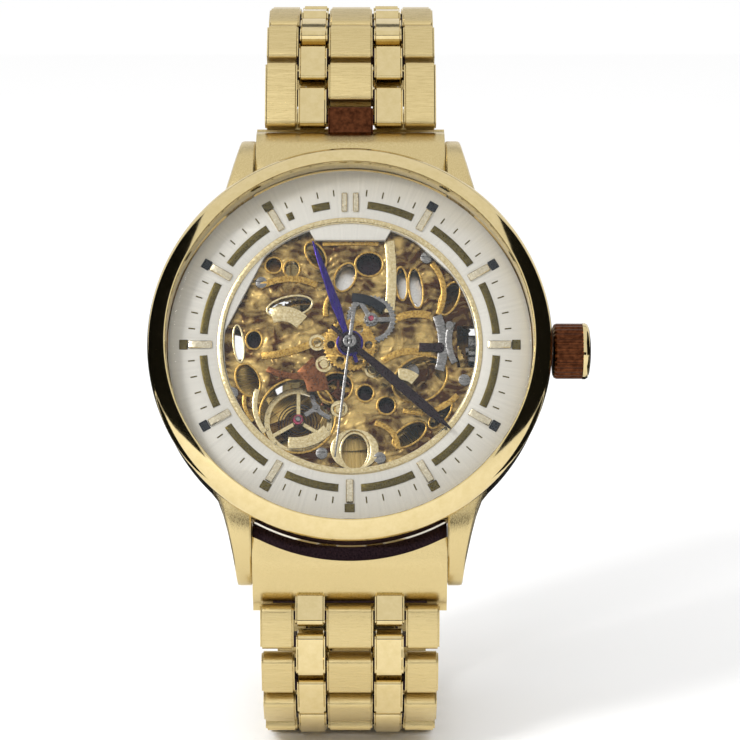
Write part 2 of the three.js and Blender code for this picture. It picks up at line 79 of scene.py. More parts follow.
into = Vector(JOINTS["seconds_spin"]["axis"])
DIAL_NORMAL = -into
DIAL_UP = DIAL_NORMAL.cross(Vector((1, 0, 0)))
CENTRE = joint_at("seconds_spin")
HEAD = frame_matrix(CENTRE, DIAL_UP)
TO_HEAD = HEAD.inverted()


def in_head(point):
    """World metres to head millimetres."""
    return TO_HEAD @ Vector(point)


def axis_uv(joint):
    """Where a joint of the movement stands on the dial."""
    p = in_head(joint_at(joint))
    return (p.x, p.y)


# ---- materials
def nodes_of(name):
    mat = bpy.data.materials.new(name)
    mat.use_nodes = True
    tree = mat.node_tree
    return mat, tree, tree.nodes["Principled BSDF"]


def set_inputs(node, **values):
    """Sets sockets by name; a space in the name is written as an underscore."""
    for name, value in values.items():
        node.inputs[name.replace("_", " ")].default_value = value


def add_to_scene(obj):
    bpy.context.scene.collection.objects.link(obj)


def coords(tree, scale):
    """Local millimetres stored on each mesh, stretched by scale."""
    attr = tree.nodes.new("ShaderNodeAttribute")
    attr.attribute_name = "loc"
    mapping = tree.nodes.new("ShaderNodeMapping")
    set_inputs(mapping, Scale=scale)
    tree.links.new(attr.outputs["Vector"], mapping.inputs["Vector"])
    return mapping.outputs["Vector"]


def noise(tree, vector, scale=1.0, detail=4.0, rough=0.6):
    n = tree.nodes.new("ShaderNodeTexNoise")
    set_inputs(n, Scale=scale, Detail=detail, Roughness=rough)
    tree.links.new(vector, n.inputs["Vector"])
    return n.outputs["Fac"]


def ramp(tree, fac, stops):
    r = tree.nodes.new("ShaderNodeValToRGB")
    while len(r.color_ramp.elements) < len(stops):
        r.color_ramp.elements.new(0.5)
    for e, (pos, color) in zip(r.color_ramp.elements, stops):
        e.position = pos
        e.color = (*color, 1)
    tree.links.new(fac, r.inputs["Fac"])
    return r.outputs["Color"]


def to_range(tree, fac, low, high, a=0.3, b=0.7):
    m = tree.nodes.new("ShaderNodeMapRange")
    set_inputs(m, From_Min=a, From_Max=b, To_Min=low, To_Max=high)
    tree.links.new(fac, m.inputs["Value"])
    return m.outputs["Result"]


def bump(tree, bsdf, height, strength, distance=0.00005):
    b = tree.nodes.new("ShaderNodeBump")
    set_inputs(b, Strength=strength, Distance=distance)
    tree.links.new(height, b.inputs["Height"])
    tree.links.new(b.outputs["Normal"], bsdf.inputs["Normal"])


def metal(name, dark, light, rough, grain, strength=0.15, fine=1.0):
    """Metal with a directional grain; grain is the stretch of the noise in local millimetres."""
    mat, tree, bsdf = nodes_of(name)
    set_inputs(bsdf, Metallic=1.0)
    lines = noise(tree, coords(tree, grain), fine, 5.0, 0.7)
    tree.links.new(ramp(tree, lines, [(0.36, dark), (0.62, light)]), bsdf.inputs["Base Color"])
    tree.links.new(to_range(tree, lines, *rough), bsdf.inputs["Roughness"])
    bump(tree, bsdf, lines, strength)
    return mat


def engraved(name, dark, light, rough, strength=0.5):
    """Gilt brass cut with scrolls: bands of a warped wave, darker in the cuts."""
    mat, tree, bsdf = nodes_of(name)
    set_inputs(bsdf, Metallic=1.0)
    at = coords(tree, (1, 1, 1))
    wave = tree.nodes.new("ShaderNodeTexWave")
    wave.wave_type = "RINGS"
    set_inputs(wave, Scale=0.36, Distortion=14.0, Detail=2.0, Detail_Scale=0.9)
    tree.links.new(at, wave.inputs["Vector"])
    cells = tree.nodes.new("ShaderNodeTexVoronoi")
    cells.feature = "DISTANCE_TO_EDGE"
    set_inputs(cells, Scale=0.55)
    tree.links.new(at, cells.inputs["Vector"])
    edge = to_range(tree, cells.outputs["Distance"], 0.45, 1.0, 0.02, 0.10)
    mix = tree.nodes.new("ShaderNodeMath")
    mix.operation = "MULTIPLY"
    tree.links.new(wave.outputs["Fac"], mix.inputs[0])
    tree.links.new(edge, mix.inputs[1])
    clouds = to_range(tree, noise(tree, at, 0.42, 3.0), 0.0, 0.72, 0.42, 0.64)
    tone = tree.nodes.new("ShaderNodeMath")
    tone.operation = "MULTIPLY_ADD"
    tone.inputs[1].default_value = 0.30
    tree.links.new(mix.outputs[0], tone.inputs[0])
    tree.links.new(clouds, tone.inputs[2])
    middle = tuple(a * 0.6 + b * 0.4 for a, b in zip(dark, light))
    color = ramp(tree, tone.outputs[0], [(0.14, dark), (0.52, middle), (0.92, light)])
    tree.links.new(color, bsdf.inputs["Base Color"])
    tree.links.new(to_range(tree, mix.outputs[0], rough[1], rough[0], 0.0, 1.0), bsdf.inputs["Roughness"])
    bump(tree, bsdf, mix.outputs[0], strength, 0.00012)
    return mat


def sunray(name, color, rough, metallic, strength):
    """Brushed from the centre outwards, so the grain runs along the radius."""
    mat, tree, bsdf = nodes_of(name)
    set_inputs(bsdf, Metallic=metallic)
    at = coords(tree, (1, 1, 1))
    split = tree.nodes.new("ShaderNodeSeparateXYZ")
    tree.links.new(at, split.inputs[0])
    angle = tree.nodes.new("ShaderNodeMath")
    angle.operation = "ARCTAN2"
    tree.links.new(split.outputs[1], angle.inputs[0])
    tree.links.new(split.outputs[0], angle.inputs[1])
    lines = tree.nodes.new("ShaderNodeTexNoise")
    lines.noise_dimensions = "1D"
    set_inputs(lines, Scale=60.0, Detail=6.0)
    tree.links.new(angle.outputs[0], lines.inputs["W"])
    low = tuple(c * 0.93 for c in color)
    tree.links.new(ramp(tree, lines.outputs["Fac"], [(0.35, low), (0.65, color)]),
                   bsdf.inputs["Base Color"])
    tree.links.new(to_range(tree, lines.outputs["Fac"], rough[0], rough[1]), bsdf.inputs["Roughness"])
    bump(tree, bsdf, lines.outputs["Fac"], strength, 0.00002)
    return mat


def glass(name, alpha):
    mat, tree, bsdf = nodes_of(name)
    set_inputs(bsdf, Base_Color=(0.20, 0.23, 0.24, 1), IOR=1.5, Alpha=alpha)
    smears = noise(tree, coords(tree, (0.2, 0.6, 0.2)), 1.0, 3.0)
    tree.links.new(to_range(tree, smears, 0.02, 0.06), bsdf.inputs["Roughness"])
    return mat


def gem(name, color):
    mat, tree, bsdf = nodes_of(name)
    set_inputs(bsdf, Roughness=0.08, Coat_Weight=1.0)
    deep = tuple(c * 0.35 for c in color)
    cloud = noise(tree, coords(tree, (2, 2, 2)), 1.0, 2.0)
    tree.links.new(ramp(tree, cloud, [(0.35, deep), (0.7, color)]), bsdf.inputs["Base Color"])
    return mat


GOLD_DARK, GOLD_LIGHT = (0.56, 0.44, 0.205), (0.67, 0.54, 0.275)
METALS = {  # name, darkest and lightest colour, roughness, grain, bump, scale of the grain
    "polished": ("polished_gold", (0.66, 0.53, 0.265), (0.71, 0.58, 0.31),
        (0.06, 0.11), (1, 1, 1), 0.02),
    "brushed": ("brushed_gold", GOLD_DARK, GOLD_LIGHT,
        (0.20, 0.42), (0.25, 9, 9), 0.30, 2.0),
    "satin": ("satin_gold", GOLD_DARK, GOLD_LIGHT,
        (0.16, 0.34), (9, 0.25, 9), 0.22, 2.0),
    "gilt": ("gilt_brass", (0.30, 0.165, 0.030), (0.58, 0.37, 0.10),
        (0.18, 0.40), (4, 4, 4), 0.12),
    # dark copper tone; on the crown's fluted body it is painted dark reflection on gold
    "copper_and_dark_reflection": ("copper_gilt_and_dark_reflection", (0.045, 0.014, 0.006), (0.12, 0.04, 0.016),
        (0.10, 0.22), (2, 2, 2), 0.05),
    "russet": ("russet_gilt", (0.10, 0.034, 0.013), (0.24, 0.090, 0.035),
        (0.20, 0.40), (3, 3, 3), 0.10),
    "bronze": ("dark_bronze", (0.060, 0.024, 0.006), (0.27, 0.150, 0.040),
        (0.22, 0.45), (0.8, 0.8, 0.8), 0.12),
    "pale": ("pale_gold", (0.55, 0.43, 0.20), (0.78, 0.66, 0.40),
        (0.12, 0.30), (4, 4, 4), 0.08),
    "steel": ("steel", (0.15, 0.145, 0.14), (0.29, 0.28, 0.27),
        (0.18, 0.32), (1.5, 4, 4), 0.05),
    "silver": ("silver", (0.66, 0.64, 0.60), (0.82, 0.80, 0.76),
        (0.25, 0.45), (5, 5, 5), 0.06),
    "blued": ("blued_steel", (0.016, 0.008, 0.075), (0.042, 0.022, 0.20),
        (0.14, 0.30), (6, 1, 6), 0.06),
    # near-black steel; also painted shade on the row bars and pins, the lower end link's strip and ledge,
    # and the discs behind openings
    "dark": ("dark_steel_and_painted_shade", (0.012, 0.007, 0.009), (0.035, 0.020, 0.024),
        (0.22, 0.40), (5, 5, 5), 0.08),
    "applied": ("applied_gold", (0.56, 0.49, 0.34), (0.70, 0.63, 0.47),
        (0.14, 0.30), (4, 4, 4), 0.06),
    "ink": ("black_ink", (0.012, 0.012, 0.014), (0.03, 0.03, 0.035),
        (0.4, 0.6), (5, 5, 5), 0.05),
    "track": ("olive_gold", (0.048, 0.035, 0.008), (0.13, 0.098, 0.026),
        (0.25, 0.45), (5, 5, 5), 0.08),
}
MAT = {key: metal(*row) for key, row in METALS.items()}
MAT.update({
    "engraved": engraved("engraved_gold", (0.045, 0.014, 0.003), (0.60, 0.42, 0.15), (0.20, 0.48), 0.35),
    "dial": sunray("dial_silver", (0.61, 0.585, 0.525), (0.30, 0.44), 0.25, 0.10),
    "rotor": sunray("rotor_gold", (0.66, 0.46, 0.16), (0.20, 0.38), 1.0, 0.25),
    "glass": glass("clear_glass", 0.05),
    "ruby": gem("ruby", (0.42, 0.012, 0.07)),
})


# ---- mesh tools
def store_local(me, points):
    """Keeps each vertex's place in local millimetres, which the materials read."""
    attr = me.attributes.new("loc", "FLOAT_VECTOR", "POINT")
    attr.data.foreach_set("vector", [c for p in points for c in p])


def mesh_piece(name, bm, matrix, body, mats, replaces=(), sharp=32):
    """Turns a bmesh in local millimetres into a piece that rides on a body."""
    bmesh.ops.remove_doubles(bm, verts=bm.verts, dist=1e-4)
    bmesh.ops.recalc_face_normals(bm, faces=bm.faces)
    me = bpy.data.meshes.new(name)
    bm.to_mesh(me)
    bm.free()
    store_local(me, [v.co for v in me.vertices])
    me.transform(matrix)
    for m in mats:
        me.materials.append(MAT[m])
    me.shade_smooth()
    me.set_sharp_from_angle(angle=math.radians(sharp))
    obj = bpy.data.objects.new(name, me)
    add_to_scene(obj)
    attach(obj, body)
    if replaces:
        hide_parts(*replaces)
    return obj


def on_head(name, bm, mats, node=None, sharp=32):
    """A piece in head millimetres; it rides with the node it stands for, or with the head."""
    body = BODY_OF[node] if node else "head"
    return mesh_piece(name, bm, HEAD, body, mats, (node,) if node else (), sharp)


def polar(r, degrees):
    """Point at a radius and an angle, anticlockwise from 3 o'clock."""
    return (r * math.cos(math.radians(degrees)), r * math.sin(math.radians(degrees)))


def circle(r, count=64, at=(0, 0), squash=1.0, turn=0.0):
    """Circle or ellipse outline; squash is the second half-axis over the first."""
    out = []
    c, s = math.cos(math.radians(turn)), math.sin(math.radians(turn))
    for i in range(count):
        a = 2 * math.pi * i / count
        x, y = r * math.cos(a), r * squash * math.sin(a)
        out.append((at[0] + x * c - y * s, at[1] + x * s + y * c))
    return out


def lathe(profile, segments=160, wave=None):
    """Closed profile of (r, z) turned about z; wave(angle) scales the radius."""
    bm = bmesh.new()
    rows = []
    for i in range(segments):
        a = 2 * math.pi * i / segments
        k = wave(a) if wave else 1.0
        rows.append([bm.verts.new((r * k * math.cos(a), r * k * math.sin(a), z)) for r, z in profile])
    n = len(profile)
    for i in range(segments):
        a, b = rows[i], rows[(i + 1) % segments]
        for j in range(n):
            bm.faces.new([a[j], b[j], b[(j + 1) % n], a[(j + 1) % n]])
    bmesh.ops.remove_doubles(bm, verts=bm.verts, dist=1e-4)
    return bm


def plate(outlines, low, high, bevel=0.05, resolution=1):
    """Flat plate with holes and chamfered edges, from closed outlines; inner ones are holes."""
    cu = bpy.data.curves.new("outline", "CURVE")
    cu.dimensions = "2D"
    cu.fill_mode = "BOTH"
    cu.extrude = (high - low) / 2 - bevel
    cu.bevel_depth = bevel
    cu.bevel_resolution = resolution
    cu.offset = -bevel
    for pts in outlines:
        s = cu.splines.new("POLY")
        s.points.add(len(pts) - 1)
        for p, (x, y) in zip(s.points, pts):
            p.co = (x, y, 0, 1)
        s.use_cyclic_u = True
    obj = bpy.data.objects.new("outline", cu)
    add_to_scene(obj)
    dg = bpy.context.evaluated_depsgraph_get()
    me = bpy.data.meshes.new_from_object(obj.evaluated_get(dg))
    bm = bmesh.new()
    bm.from_mesh(me)
    bpy.data.objects.remove(obj)
    bpy.data.curves.remove(cu)
    bpy.data.meshes.remove(me)
    bmesh.ops.translate(bm, verts=bm.verts, vec=(0, 0, (low + high) / 2))
    bmesh.ops.remove_doubles(bm, verts=bm.verts, dist=1e-4)
    return bm


def slab(outline, x0, x1, bevel=0.15, segments=2, angle=25):
    """Side outline of (y, z) swept across x, with rounded edges."""
    bm = bmesh.new()
    a = [bm.verts.new((x0, y, z)) for y, z in outline]
    b = [bm.verts.new((x1, y, z)) for y, z in outline]
    bm.faces.new(a)
    bm.faces.new(list(reversed(b)))
    n = len(outline)
    for i in range(n):
        bm.faces.new([a[i], b[i], b[(i + 1) % n], a[(i + 1) % n]])
    bmesh.ops.recalc_face_normals(bm, faces=bm.faces)
    if bevel:
        edges = [e for e in bm.edges if e.calc_face_angle(0) > math.radians(angle)]
        bmesh.ops.bevel(bm, geom=edges, offset=bevel, segments=segments, affect="EDGES", clamp_overlap=True)
    return bm


def box_bm(x, y, z, bevel=0.1, segments=2):
    return slab([(y[0], z[0]), (y[1], z[0]), (y[1], z[1]), (y[0], z[1])], x[0], x[1], bevel, segments)


def join(*parts):
    """One bmesh from several, each closed; a part is a bmesh or (bmesh, material index)."""
    out = bmesh.new()
    for part in parts:
        bm, index = part if isinstance(part, tuple) else (part, 0)
        for f in bm.faces:
            f.material_index = index
        me = bpy.data.meshes.new("part")
        bm.to_mesh(me)
        bm.free()
        out.from_mesh(me)
        bpy.data.meshes.remove(me)
    return out


def shifted(bm, x=0.0, y=0.0, z=0.0, turn=0.0):
    if turn:
        bmesh.ops.rotate(bm, verts=bm.verts, cent=(0, 0, 0),
                         matrix=Matrix.Rotation(math.radians(turn), 3, "Z"))
    bmesh.ops.translate(bm, verts=bm.verts, vec=(x, y, z))
    return bm


def along_x(bm):
    """Turns a piece built about z so that its axis is x."""
    bmesh.ops.rotate(bm, verts=bm.verts, cent=(0, 0, 0), matrix=Matrix.Rotation(math.radians(90), 3, "Y"))
    return bm


def rod(r, x0, x1, y=0.0, z=0.0, segments=24):
    edge = min(0.1, r / 3)
    profile = [(0, x0), (r - edge, x0), (r, x0 + edge), (r, x1 - edge), (r - edge, x1), (0, x1)]
    return shifted(along_x(lathe(profile, segments)), 0, y, z)


def puck(r, low, high, at=(0, 0), segments=32, edge=0.06):
    profile = [(0, low), (r - edge, low), (r, low + edge), (r, high - edge), (r - edge, high), (0, high)]
    return shifted(lathe(profile, segments), *at)


# ---- case
def middle_case():
    band = lathe([
        (17.6, -3.6), (19.95, -3.6), (20.3, -3.45), (20.55, -3.0), (20.7, -2.5), (20.7, 1.4), (20.62, 1.9),
        (20.35, 2.3), (19.3, 2.3), (19.3, 0.9), (17.6, 0.9),
    ], 192)
    parts = [(band, 0)]
    # sections of a lug, from the case wall to its tip: v, inner u, outer u, underside, top
    sections = [
        (14.2, 10.15, 14.9, -3.2, 1.35), (15.6, 10.15, 13.75, -3.35, 1.45),
        (17.2, 10.15, 13.15, -3.55, 1.4), (18.8, 10.15, 12.72, -3.95, 1.05),
        (20.4, 10.15, 12.35, -4.45, 0.42), (21.8, 10.15, 12.05, -5.0, -0.65),
        (23.0, 10.15, 11.85, -5.4, -2.0), (23.8, 10.15, 11.72, -5.35, -3.2),
        (24.15, 10.25, 11.6, -5.0, -4.1),
    ]
    for sx in (-1, 1):
        for sy in (-1, 1):
            bm = bmesh.new()
            rings = []
            for v, u0, u1, w0, w1 in sections:
                c = min(0.55, (u1 - u0) / 4, (w1 - w0) / 3)
                pts = [(u0, w0), (u1 - 0.3, w0), (u1, w0 + 0.3), (u1, w1 - c), (u1 - c * 0.3, w1 - c * 0.3),
                       (u1 - c, w1), (u0 + 0.15, w1), (u0, w1 - 0.15)]
                rings.append([bm.verts.new((sx * u, sy * v, w)) for u, w in pts])
            n = len(rings[0])
            for a, b in zip(rings, rings[1:]):
                for i in range(n):
                    bm.faces.new([a[i], a[(i + 1) % n], b[(i + 1) % n], b[i]])
            bm.faces.new(rings[0])
            bm.faces.new(rings[-1])
            parts.append((bm, 1))
    return join(*parts)


on_head("case_band", middle_case(), ["polished", "satin"], "mid_case", sharp=28)
on_head("bezel_ring", lathe([
    (19.0, 2.6), (20.7, 2.6), (20.95, 2.75), (21.0, 3.0), (20.96, 3.3), (20.82, 3.62), (20.58, 3.92),
    (20.24, 4.22), (19.84, 4.52), (19.44, 4.78), (19.2, 4.9), (19.08, 4.88), (19.0, 4.75),
], 224), ["polished"], "bezel")
on_head("front_crystal", lathe([
    (0, 3.9), (18.6, 3.9), (18.8, 4.0), (18.8, 4.6), (18.6, 4.8), (18.0, 4.95), (14, 5.12), (9, 5.24),
    (4, 5.29), (0, 5.3),
], 160), ["glass"], "crystal")


def case_back():
    profile = [
        (14.2, -6.3), (14.3, -6.4), (17.3, -6.4), (17.7, -6.32), (19.5, -4.75), (19.7, -4.45),
        (19.7, -3.95), (19.6, -3.85), (14.2, -3.85),
    ]
    parts = [(lathe(profile, 192), 0)]
    for k in range(6):
        notch = plate([circle(0.55, 24, polar(15.9, 60 * k + 30))], -6.405, -6.30, 0.01)
        parts.append((notch, 1))
    for r in (14.75, 17.0):
        line = [(r - 0.07, -6.42), (r + 0.07, -6.42), (r + 0.07, -6.35), (r - 0.07, -6.35)]
        parts.append((lathe(line, 160), 1))
    return join(*parts)


on_head("case_back_ring", case_back(), ["satin", "dark"], "case_back")
on_head("back_window", lathe([
    (0, -6.2), (13.9, -6.2), (14.0, -6.1), (14.0, -5.8), (13.9, -5.7), (0, -5.7),
], 128), ["glass"], "back_crystal")


FLUTES, FLUTE_DEPTH = 26, 0.045     # count, and depth over the crown's radius


def flutes(a):
    return 1.0 - FLUTE_DEPTH * (0.5 + 0.5 * math.cos(FLUTES * a)) ** 2


def crown_shape():
    stem_w = in_head(joint_at("crown_spin")).z
    body = lathe([
        (0.7, 21.2), (2.5, 21.2), (2.8, 21.35), (2.9, 21.6), (2.9, 24.2), (2.82, 24.4), (0.7, 24.4),
    ], 260, flutes)
    cap = lathe([
        (0, 24.3), (2.94, 24.3), (2.95, 24.6), (2.8, 24.85), (2.35, 25.02), (1.5, 25.14), (0.8, 25.19),
        (0, 25.2),
    ], 96)
    groove = lathe([(0.7, 21.9), (2.3, 21.9), (2.3, 22.6), (0.7, 22.6)], 32)
    return shifted(along_x(join((body, 2), (cap, 0), (groove, 1))), 0, 0, stem_w)


# the crown's fluted body is dark red-brown: painted dark reflection on a gold crown
on_head("crown_knob", crown_shape(), ["polished", "dark", "copper_and_dark_reflection"], "crown",
        sharp=40)

# ---- dial
OPENING = 13.1                      # radius of the opening in the dial
MARKER_FOOT = 14.3                  # radius where the hour bars start
TRACK_INNER, TRACK_OUTER = 14.85, 15.65


def dial_opening():
    """Inner outline of the dial: a circle with a flat tab at 12 and two flat chords."""
    chords = [(90, 11.35, 3.7), (153, 12.3, OPENING), (47, 12.85, OPENING)]     # angle, reach, half width
    out = []
    for a in range(360):
        r = OPENING
        for middle, reach, half in chords:
            off = math.radians(a - middle)
            if math.cos(off) > 0.2:
                flat = reach / math.cos(off)
                if flat < r and abs(flat * math.sin(off)) < half:
                    r = flat
        out.append(polar(r, a))
    return out


on_head("dial_plate", plate([circle(18.95, 240), dial_opening()], 1.2, 1.8, 0.04), ["dial"], "dial_ring")
on_head("dial_rim", lathe([
    (13.15, 1.75), (13.15, 1.95), (13.3, 2.04), (13.5, 2.05), (13.75, 1.98), (13.85, 1.75),
], 200), ["pale"])


def marker(length, width, low, high):
    """Applied bar with a roof-shaped top, lying along y from 0."""
    end = 0.13
    outline = [(0, low), (length, low), (length, high - 0.1), (length - end, high), (end, high),
               (0, high - 0.1)]
    return slab(outline, -width / 2, width / 2, 0.09, 1)


INKED = (1, 2, 4, 8, 10)            # hours whose dot is black; the rest are olive


def hour_markers():
    """A double bar at 12, and a bar with a dot outside it at every other hour."""
    parts = []
    for hour in range(12):
        if hour == 0:
            for dx in (-0.6, 0.6):
                parts.append((shifted(marker(2.1, 0.6, 1.75, 2.1), dx, MARKER_FOOT + 0.1), 0))
            continue
        turn = -30 * hour
        bar = shifted(marker(2.5, 0.78, 1.75, 2.12), 0, MARKER_FOOT)
        dot = box_bm((-0.52, 0.52), (16.85, 17.75), (1.75, 1.92), 0.05, 1)
        parts.append((shifted(bar, turn=turn), 0))
        parts.append((shifted(dot, turn=turn), 1 if hour in INKED else 2))
    return join(*parts)


on_head("hour_markers", hour_markers(), ["applied", "ink", "track"])


def arc_band(r0, r1, a0, a1, step=1.0):
    """Outline between two radii and two angles."""
    n = max(2, int(abs(a1 - a0) / step))
    outer = [polar(r1, a0 + (a1 - a0) * i / n) for i in range(n + 1)]
    inner = [polar(r0, a1 + (a0 - a1) * i / n) for i in range(n + 1)]
    return outer + inner


def minute_track():
    """An arc in each hour, the last one broken in two, and a tick at every minute between."""
    parts = []
    for hour in range(12):
        start = 90 - 30 * hour - 4.4
        end = start - 21.2
        if hour == 0:
            start -= 2.5
        spans = [(start - 17.5, start - 10.5), (start, start - 2.6)] if hour == 11 else [(end, start)]
        for a, b in spans:
            parts.append(plate([arc_band(TRACK_INNER, TRACK_OUTER, a, b)], 1.78, 1.9, 0.02))
    for minute in range(60):
        if minute % 5:
            parts.append(shifted(box_bm((-0.07, 0.07), (16.2, 16.9), (1.77, 1.83), 0, 1), turn=-6 * minute))
    return join(*parts)


on_head("minute_track", minute_track(), ["track"])


# ---- hands
def hand(length, tail, width, hub, hole, low, clock, thick=0.2, broad=0.3):
    """A tapered hand; clock is its angle, clockwise from 12."""
    blade = [(-0.22, -tail), (0.22, -tail), (0.2, -hub * 0.9), (width * 0.28, hub * 0.9),
             (width / 2, length * 0.36), (width * broad, length * 0.8), (0.08, length), (-0.08, length),
             (-width * broad, length * 0.8), (-width / 2, length * 0.36), (-width * 0.28, hub * 0.9),
             (-0.2, -hub * 0.9)]
    parts = [plate([blade], low + 0.01, low + thick, 0.06),
             plate([circle(hub, 40), circle(hole, 24)], low, low + thick, 0.04)]
    return shifted(join(*parts), turn=-clock)


on_head("hour_hand_blade", hand(11.7, 2.2, 1.0, 1.4, 1.0, 2.35, 340.5), ["blued"], "hour_hand")
on_head("minute_hand_blade", hand(13.9, 2.6, 1.05, 1.15, 0.62, 2.85, 131.5, broad=0.48), ["dark"],
        "minute_hand")
on_head("seconds_hand_blade", hand(12.4, 4.2, 0.34, 0.7, 0.3, 3.35, 187, 0.15), ["steel"], "seconds_hand")


# ---- movement, front side
OPENINGS = [  # u, v, half width, half height, turn
    (-0.5, 7.5, 0.95, 1.5, -24), (2.0, 8.9, 1.35, 1.2, 0), (5.4, 6.8, 0.5, 1.7, 4),
    (6.9, 6.3, 0.62, 2.05, 6), (-6.3, 4.3, 2.3, 1.0, 12), (-10.0, 0.7, 0.75, 0.9, 0),
    (-11.6, 0.3, 0.42, 1.9, 6), (-8.0, 8.8, 0.8, 0.75, 0), (-6.1, 8.4, 0.75, 0.85, 0),
    (-5.4, -7.4, 3.85, 3.85, 0), (-1.5, -4.4, 1.75, 1.5, 20), (1.6, -5.0, 0.8, 0.8, 0),
    (3.8, -6.3, 0.85, 0.85, 0), (7.3, -3.5, 2.9, 2.2, 30), (0.5, -11.2, 1.35, 1.85, 0),
    (6.2, -9.4, 1.9, 0.9, 35), (10.4, 5.2, 0.8, 1.8, -24), (-3.6, 9.9, 0.8, 1.5, 30),
    (9.4, -7.3, 0.6, 1.6, -38), (-10.6, -3.6, 1.1, 1.7, 22),
]


def front_plate():
    holes = [circle(a, 40, (u, v), b / a, turn) for u, v, a, b, turn in OPENINGS]
    keyless = [(11.2, -2.2), (14.45, -2.2), (14.45, 2.2), (11.2, 2.2)]
    return plate([circle(14.6, 160), circle(0.75, 24), keyless, *holes], -0.2, 1.0, 0.12, 2)


on_head("engraved_plate", front_plate(), ["engraved"], "mainplate", sharp=50)


RIM = 0.22                          # width of the raised edge round an opening
PALE_RIMS = (4, 6, 14)              # openings whose edge is pale gold


def plate_rims():
    """Raised polished edges round the openings."""
    parts = []
    for k, (u, v, a, b, turn) in enumerate(OPENINGS):
        outer = circle(a + RIM, 48, (u, v), (b + RIM) / (a + RIM), turn)
        inner = circle(a, 48, (u, v), b / a, turn)
        parts.append((plate([outer, inner], 0.95, 1.12, 0.04), 1 if k in PALE_RIMS else 0))
    hoop = [circle(2.5, 56, (0.5, -11.0), 0.86, 0), circle(1.6, 56, (0.5, -11.1), 1.3, 0)]
    parts.append((plate(hoop, 0.95, 1.18, 0.06), 1))
    return join(*parts)


on_head("opening_rims", plate_rims(), ["gilt", "pale"])


def ribbon(points, width, low, high, bevel=0.05):
    """A chamfered bar that follows a polyline."""
    left, right = [], []
    n = len(points)
    for i, (x, y) in enumerate(points):
        x0, y0 = points[max(0, i - 1)]
        x1, y1 = points[min(n - 1, i + 1)]
        length = math.hypot(x1 - x0, y1 - y0)
        nx, ny = -(y1 - y0) / length, (x1 - x0) / length
        left.append((x + nx * width / 2, y + ny * width / 2))
        right.append((x - nx * width / 2, y - ny * width / 2))
    return plate([left + right[::-1]], low, high, bevel)


def bow(a, b, rise, count=10):
    """Points from a to b that bow out to one side."""
    dx, dy = b[0] - a[0], b[1] - a[1]
    length = math.hypot(dx, dy)
    out = []
    for i in range(count + 1):
        k = i / count
        s = rise * 4 * k * (1 - k)
        out.append((a[0] + dx * k - dy / length * s, a[1] + dy * k + dx / length * s))
    return out


BAR_MATS = ["pale", "gilt", "ink", "russet"]
BARS = [  # from, to, bow, width, lower and upper face, chamfer, material
    ((4.1, 11.4), (4.1, 3.6), 0.25, 1.05, 1.0, 1.25, 0.05, "pale"),
    ((-8.2, 3.3), (-5.0, 2.6), 0.5, 1.7, 1.0, 1.2, 0.08, "pale"),
    ((-6.4, -10.3), (-2.3, -8.9), -0.5, 1.25, 1.0, 1.22, 0.08, "pale"),
    ((5.0, -3.0), (6.8, -3.6), 0.2, 1.3, 1.0, 1.2, 0.08, "pale"),
    ((-2.9, 11.1), (3.0, 11.1), 0.1, 0.5, 1.0, 1.15, 0.05, "gilt"),
    ((-9.5, 6.4), (-3.4, 6.6), 0.8, 0.7, 1.0, 1.18, 0.05, "gilt"),
    ((-2.5, 3.2), (-1.5, 6.0), 0.4, 0.6, 1.0, 1.2, 0.05, "gilt"),
    ((8.6, 9.0), (9.2, 3.4), 0.9, 0.6, 1.0, 1.18, 0.05, "gilt"),
    ((4.2, 2.6), (8.4, 3.3), 0.5, 0.8, 1.0, 1.15, 0.05, "gilt"),
    ((3.4, -1.6), (8.4, -0.9), 0.7, 0.75, 1.0, 1.15, 0.05, "gilt"),
    ((-9.6, -4.6), (-8.8, -9.2), -0.6, 0.55, 1.0, 1.2, 0.05, "pale"),
    ((-10.9, -5.2), (-10.0, -8.0), -0.4, 0.45, 1.0, 1.2, 0.05, "gilt"),
    ((2.6, -8.2), (5.0, -11.0), 0.7, 0.6, 1.0, 1.2, 0.05, "gilt"),
    ((5.5, -6.8), (11.2, -5.2), -0.9, 0.6, 1.0, 1.15, 0.05, "gilt"),
    ((0.2, 5.2), (3.5, 3.9), 0.35, 0.95, 1.26, 1.5, 0.06, "ink"),
    ((-2.2, 1.3), (-9.2, -1.0), 0.5, 0.8, 1.0, 1.15, 0.05, "gilt"),
    ((-3.3, -2.8), (-8.6, -2.4), 0.6, 0.7, 1.0, 1.15, 0.05, "russet"),
    ((-4.7, -1.9), (-3.3, -4.8), 0.3, 2.3, 1.0, 1.16, 0.08, "russet"),
]


def front_bridges():
    parts = []
    for start, end, rise, width, low, high, bevel, mat in BARS:
        bar = ribbon(bow(start, end, rise), width, low, high, bevel)
        parts.append((bar, BAR_MATS.index(mat)))
    return join(*parts)


on_head("front_bridges", front_bridges(), BAR_MATS)


def keyless():
    parts = [
        (ribbon(bow((9.1, 3.3), (9.3, -2.6), 0.5), 1.0, 1.0, 1.3, 0.06), 0),
        (ribbon(bow((10.7, 2.6), (10.9, -1.8), -0.5), 0.7, 1.0, 1.35, 0.06), 0),
        (ribbon([(7.2, -0.1), (9.4, -0.2)], 0.9, 1.05, 1.4, 0.06), 1),
        (puck(0.55, 1.3, 1.5, (9.3, -0.2), 28, 0.1), 1),
        (puck(0.5, 1.3, 1.5, (10.4, 2.2), 28, 0.1), 0),
    ]
    return join(*parts)


on_head("keyless_levers", keyless(), ["steel", "dark"])


